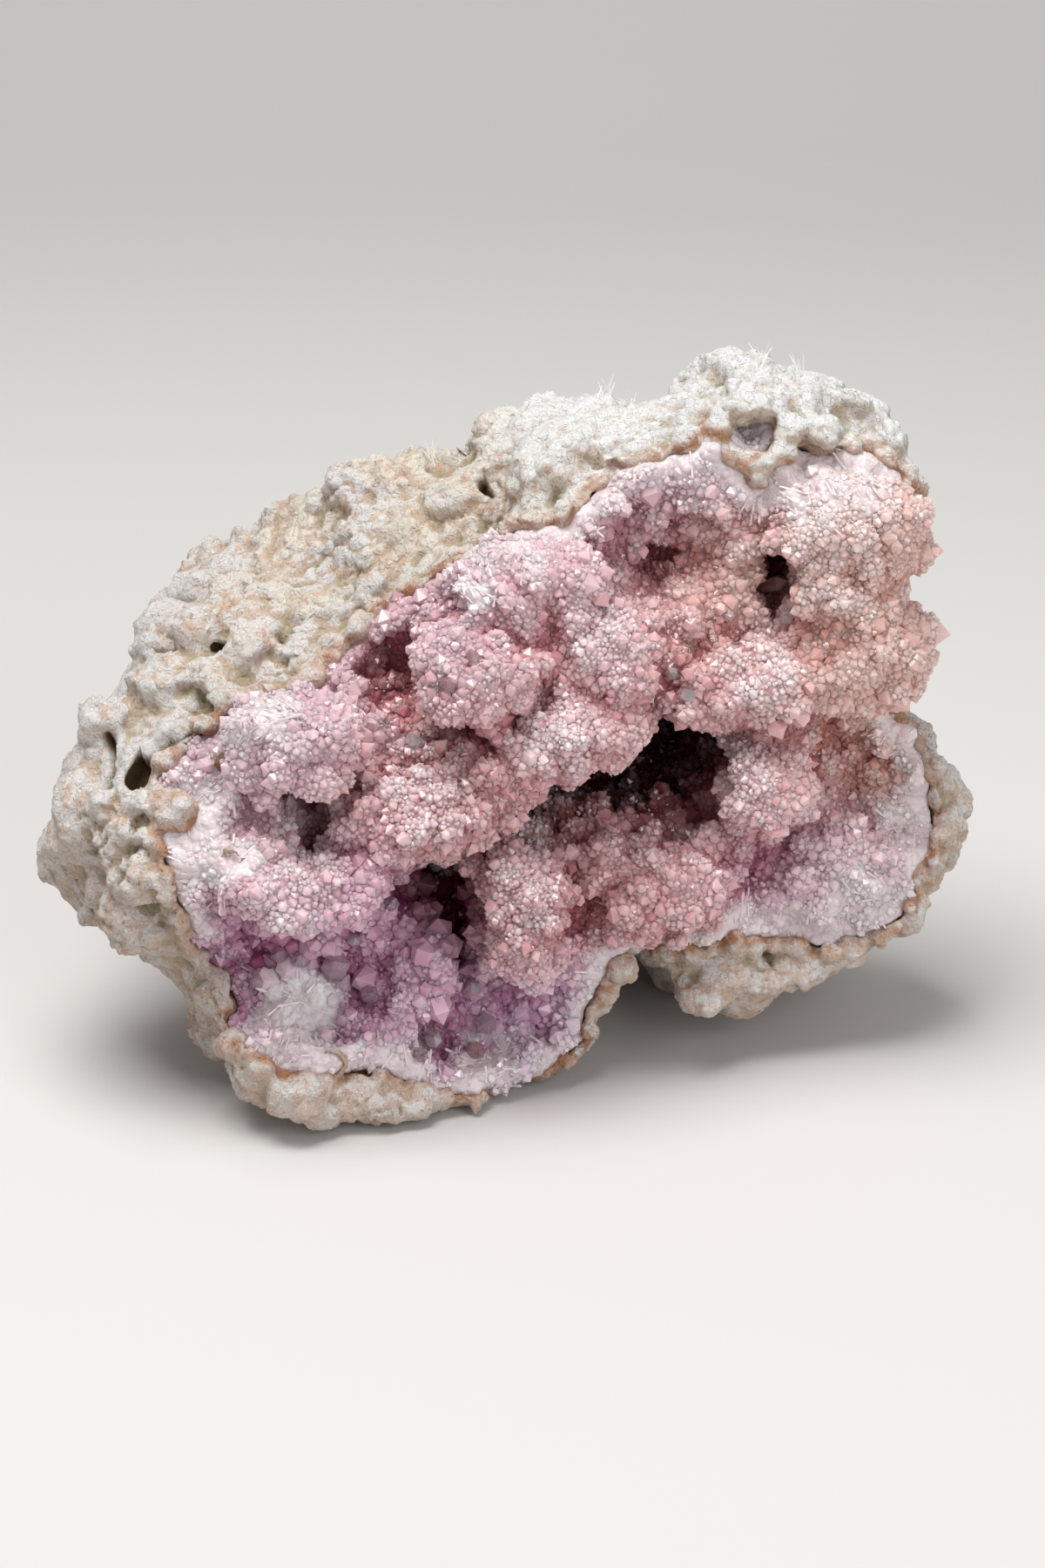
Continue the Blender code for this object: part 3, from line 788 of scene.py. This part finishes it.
# Here and there a larger single crystal stands out of the crust: violet ones with fine steps across
# their sides in the lower hollow, glassy white tips, and a few peach fingers by the gap.
CLEAR_WHITE = (0.94, 0.91, 0.93)
SINGLES = [  # foot, the way it points, radius, height and colour
    ((-24.2, -24.0, 17.6), (0.15, -0.75, 0.65), 2.0, 4.4, PALE_VIOLET),
    ((-20.0, -25.0, 14.6), (0.3, -0.8, 0.5), 1.35, 3.6, PALE_VIOLET),
    ((-27.9, -24.8, 19.6), (-0.2, -0.8, 0.6), 1.2, 3.0, PALE_VIOLET),
    ((-21.4, -23.6, 21.8), (0.1, -0.7, 0.7), 1.0, 2.2, CLEAR_WHITE),
    ((-30.8, -25.4, 20.6), (-0.3, -0.7, 0.6), 1.1, 2.4, PALE_VIOLET),
    ((-33.6, -26.8, 17.4), (-0.4, -0.7, 0.5), 1.0, 2.2, PALE_VIOLET),
    ((-4.8, -19.6, 13.0), (-0.2, -0.7, 0.7), 1.15, 2.2, CLEAR_WHITE),
    ((-2.4, -19.6, 14.2), (0.3, -0.7, 0.6), 1.05, 2.0, CLEAR_WHITE),
    ((-3.6, -20.2, 8.4), (0.1, -0.9, 0.4), 1.5, 2.6, PALE_VIOLET),
    ((-7.3, -19.4, 14.8), (-0.3, -0.5, 0.8), 0.9, 2.0, CLEAR_WHITE),
    ((-12.9, -21.6, 49.8), (0.0, -0.5, 0.85), 1.2, 2.0, CLEAR_WHITE),
    ((-5.2, -27.4, 63.4), (0.1, -0.5, 0.85), 1.5, 2.4, ROSE),
    ((-7.8, -29.8, 62.0), (-0.2, -0.9, 0.2), 1.2, 2.0, ROSE),
    ((-26.2, -38.2, 33.4), (0.05, -0.5, -0.87), 0.4, 3.6, CLEAR_WHITE),
    ((22.2, -11.6, 56.2), (-0.3, -0.8, 0.5), 0.9, 1.8, CLEAR_WHITE),
    ((23.6, -13.2, 53.6), (0.2, -0.8, 0.5), 1.2, 2.6, CLEAR_WHITE),
    ((29.4, -6.0, 62.8), (0.2, -0.9, 0.3), 0.85, 1.6, CLEAR_WHITE),
    ((37.8, -4.8, 61.8), (-0.2, -0.8, 0.5), 1.0, 1.8, CLEAR_WHITE),
    ((33.2, 1.0, 64.4), (0.75, -0.55, 0.35), 1.1, 5.0, PEACH),
    ((24.4, -8.0, 61.6), (-0.1, -0.6, -0.8), 0.9, 4.0, PEACH),
    ((27.0, -7.2, 62.4), (0.2, -0.6, -0.75), 0.8, 3.4, PEACH),
    ((-10.3, -22.8, 6.6), (-0.1, -0.8, 0.6), 1.2, 2.8, CLEAR_WHITE),
    ((-5.6, -21.8, 4.8), (0.4, -0.8, 0.4), 1.4, 2.6, ROSE),
    ((-9.1, -21.0, 12.0), (0.1, -0.9, 0.4), 1.3, 2.4, ROSE),
    ((-10.1, -9.6, 27.6), (-0.2, -0.9, 0.3), 1.0, 1.8, CLEAR_WHITE),
    ((-7.4, -11.4, 28.4), (0.2, -0.9, 0.2), 0.9, 1.6, CLEAR_WHITE),
    ((-16.6, -22.4, 26.6), (0.3, -0.6, 0.7), 1.1, 2.2, PALE_VIOLET),
]
chance = np.random.default_rng(CRYSTAL_SEED + 1)
axes = np.array([Vector(single[1]).normalized()[:] for single in SINGLES])
singles = crystals("single_crystals", np.array([single[0] for single in SINGLES]) * MM, axes,
                   np.array([single[2] for single in SINGLES]) * MM,
                   np.array([single[3] for single in SINGLES]) * MM,
                   np.array([single[4] for single in SINGLES]), np.full(len(SINGLES), 0.3))
glassy = Look("glassy_quartz", Roughness=0.06, IOR=1.54, Transmission_Weight=0.7)
glassy.feed(glassy.shader.inputs["Base Color"], glassy.stored("tint", "Color"))
height = glassy.add("ShaderNodeCombineXYZ", X=glassy.stored("along"))
steps = glassy.add("ShaderNodeTexNoise", Vector=height.outputs[0], Scale=5.0, Detail=3.0).outputs["Fac"]
glassy.feed(glassy.shader.inputs["Normal"], glassy.bump(steps, 0.12))
singles.data.materials.append(glassy.material)
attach(singles, "root")

# Next to the rind the quartz is a milky band of fine fibres that radiate from the rock towards the
# hollow, and in one place from a point. The break cut through them, so they show as low silky ridges.
FIBRE_SEED = 8
FIBRES = 700
FIBRE_RADIUS = 0.16
FIBRE_LENGTH = (2.0, 4.5)
chance = np.random.default_rng(FIBRE_SEED)
milky = np.flatnonzero((milk_here > 0.35) & (gap_here > 1.2))[:FIBRES]
spots, normals = all_spots[milky], all_normals[milky]
away = []
for spot, normal in zip(spots, normals):
    ray = Vector(spot) - grown_from(Vector(spot))
    ray -= Vector(normal) * ray.dot(Vector(normal))
    away.append(ray.normalized()[:])
axes = leaning(np.array(away), 0.04)
radii = FIBRE_RADIUS * (0.6 + 0.8 * chance.random(len(spots)))
lengths = FIBRE_LENGTH[0] + (FIBRE_LENGTH[1] - FIBRE_LENGTH[0]) * chance.random(len(spots))
shades = tint_here[milky] * (0.95 + 0.08 * chance.random((len(spots), 1)))
sunk = spots - normals * (radii * 0.7 * MM)[:, None] - axes * (lengths * 0.4 * MM)[:, None]
fibres = crystals("milky_fibres", sunk, axes, radii * MM, lengths * MM, shades, np.full(len(spots), 0.2))
silk = Look("milky_quartz", Roughness=0.35, IOR=1.54)
silk.feed(silk.shader.inputs["Base Color"], silk.stored("tint", "Color"))
fibres.data.materials.append(silk.material)
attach(fibres, "root")

# The stage is a plain pale floor that curves up behind, under soft studio light, with the camera
# where the photographer stood.
FLOOR = (0.62, 0.61, 0.60)
TARGET = Vector((1.62, -4.25, 37.45)) * MM
ELEVATION = math.radians(22.0)
DISTANCE = 0.544

bm = bmesh.new()
bmesh.ops.create_grid(bm, x_segments=2, y_segments=40, size=1.0)
for vert in bm.verts:
    along = (vert.co.y + 1.0) / 2.0
    vert.co.x *= 1.6
    vert.co.y = -1.2 + 2.4 * along
    vert.co.z = 0.0
    past = vert.co.y - 0.5
    if past > 0.0:
        vert.co.z = 1.4 * past * past
floor_mesh = bpy.data.meshes.new("floor")
bm.to_mesh(floor_mesh)
bm.free()
floor_mesh.shade_smooth()
floor = bpy.data.objects.new("floor", floor_mesh)
bpy.context.scene.collection.objects.link(floor)
paper = Look("paper", Roughness=0.9)
paper.feed(paper.shader.inputs["Base Color"], FLOOR)
floor.data.materials.append(paper.material)


def lamp(name, place, aim, size, power, colour):
    """A square soft lamp at a place, turned towards a point."""
    data = bpy.data.lights.new(name, "AREA")
    data.size = size
    data.energy = power
    data.color = colour
    light = bpy.data.objects.new(name, data)
    light.location = place
    light.rotation_euler = (Vector(aim) - Vector(place)).to_track_quat("-Z", "Y").to_euler()
    bpy.context.scene.collection.objects.link(light)


lamp("window", (-0.15, -0.10, 0.85), (0.0, 0.0, 0.05), 0.55, 8.6, (1.0, 0.985, 0.965))
lamp("fill", (0.50, -0.70, 0.40), (0.0, 0.0, 0.04), 0.6, 3.6, (1.0, 1.0, 1.0))
world = bpy.data.worlds.new("room")
world.use_nodes = True
world.node_tree.nodes["Background"].inputs["Color"].default_value = (0.97, 0.98, 1.0, 1.0)
world.node_tree.nodes["Background"].inputs["Strength"].default_value = 0.27
bpy.context.scene.world = world
bpy.context.scene.view_settings.view_transform = "Standard"

lens = bpy.data.cameras.new("camera")
lens.lens = 90.0
lens.clip_start = 0.01
camera = bpy.data.objects.new("camera", lens)
back = Vector((0.0, -math.cos(ELEVATION), math.sin(ELEVATION)))
camera.location = TARGET + back * DISTANCE
camera.rotation_euler = (math.pi / 2.0 - ELEVATION, 0.0, 0.0)
bpy.context.scene.collection.objects.link(camera)
bpy.context.scene.camera = camera

for helper in [obj for obj in bpy.data.objects if obj.name.endswith("_skin")]:
    bpy.data.objects.remove(helper)
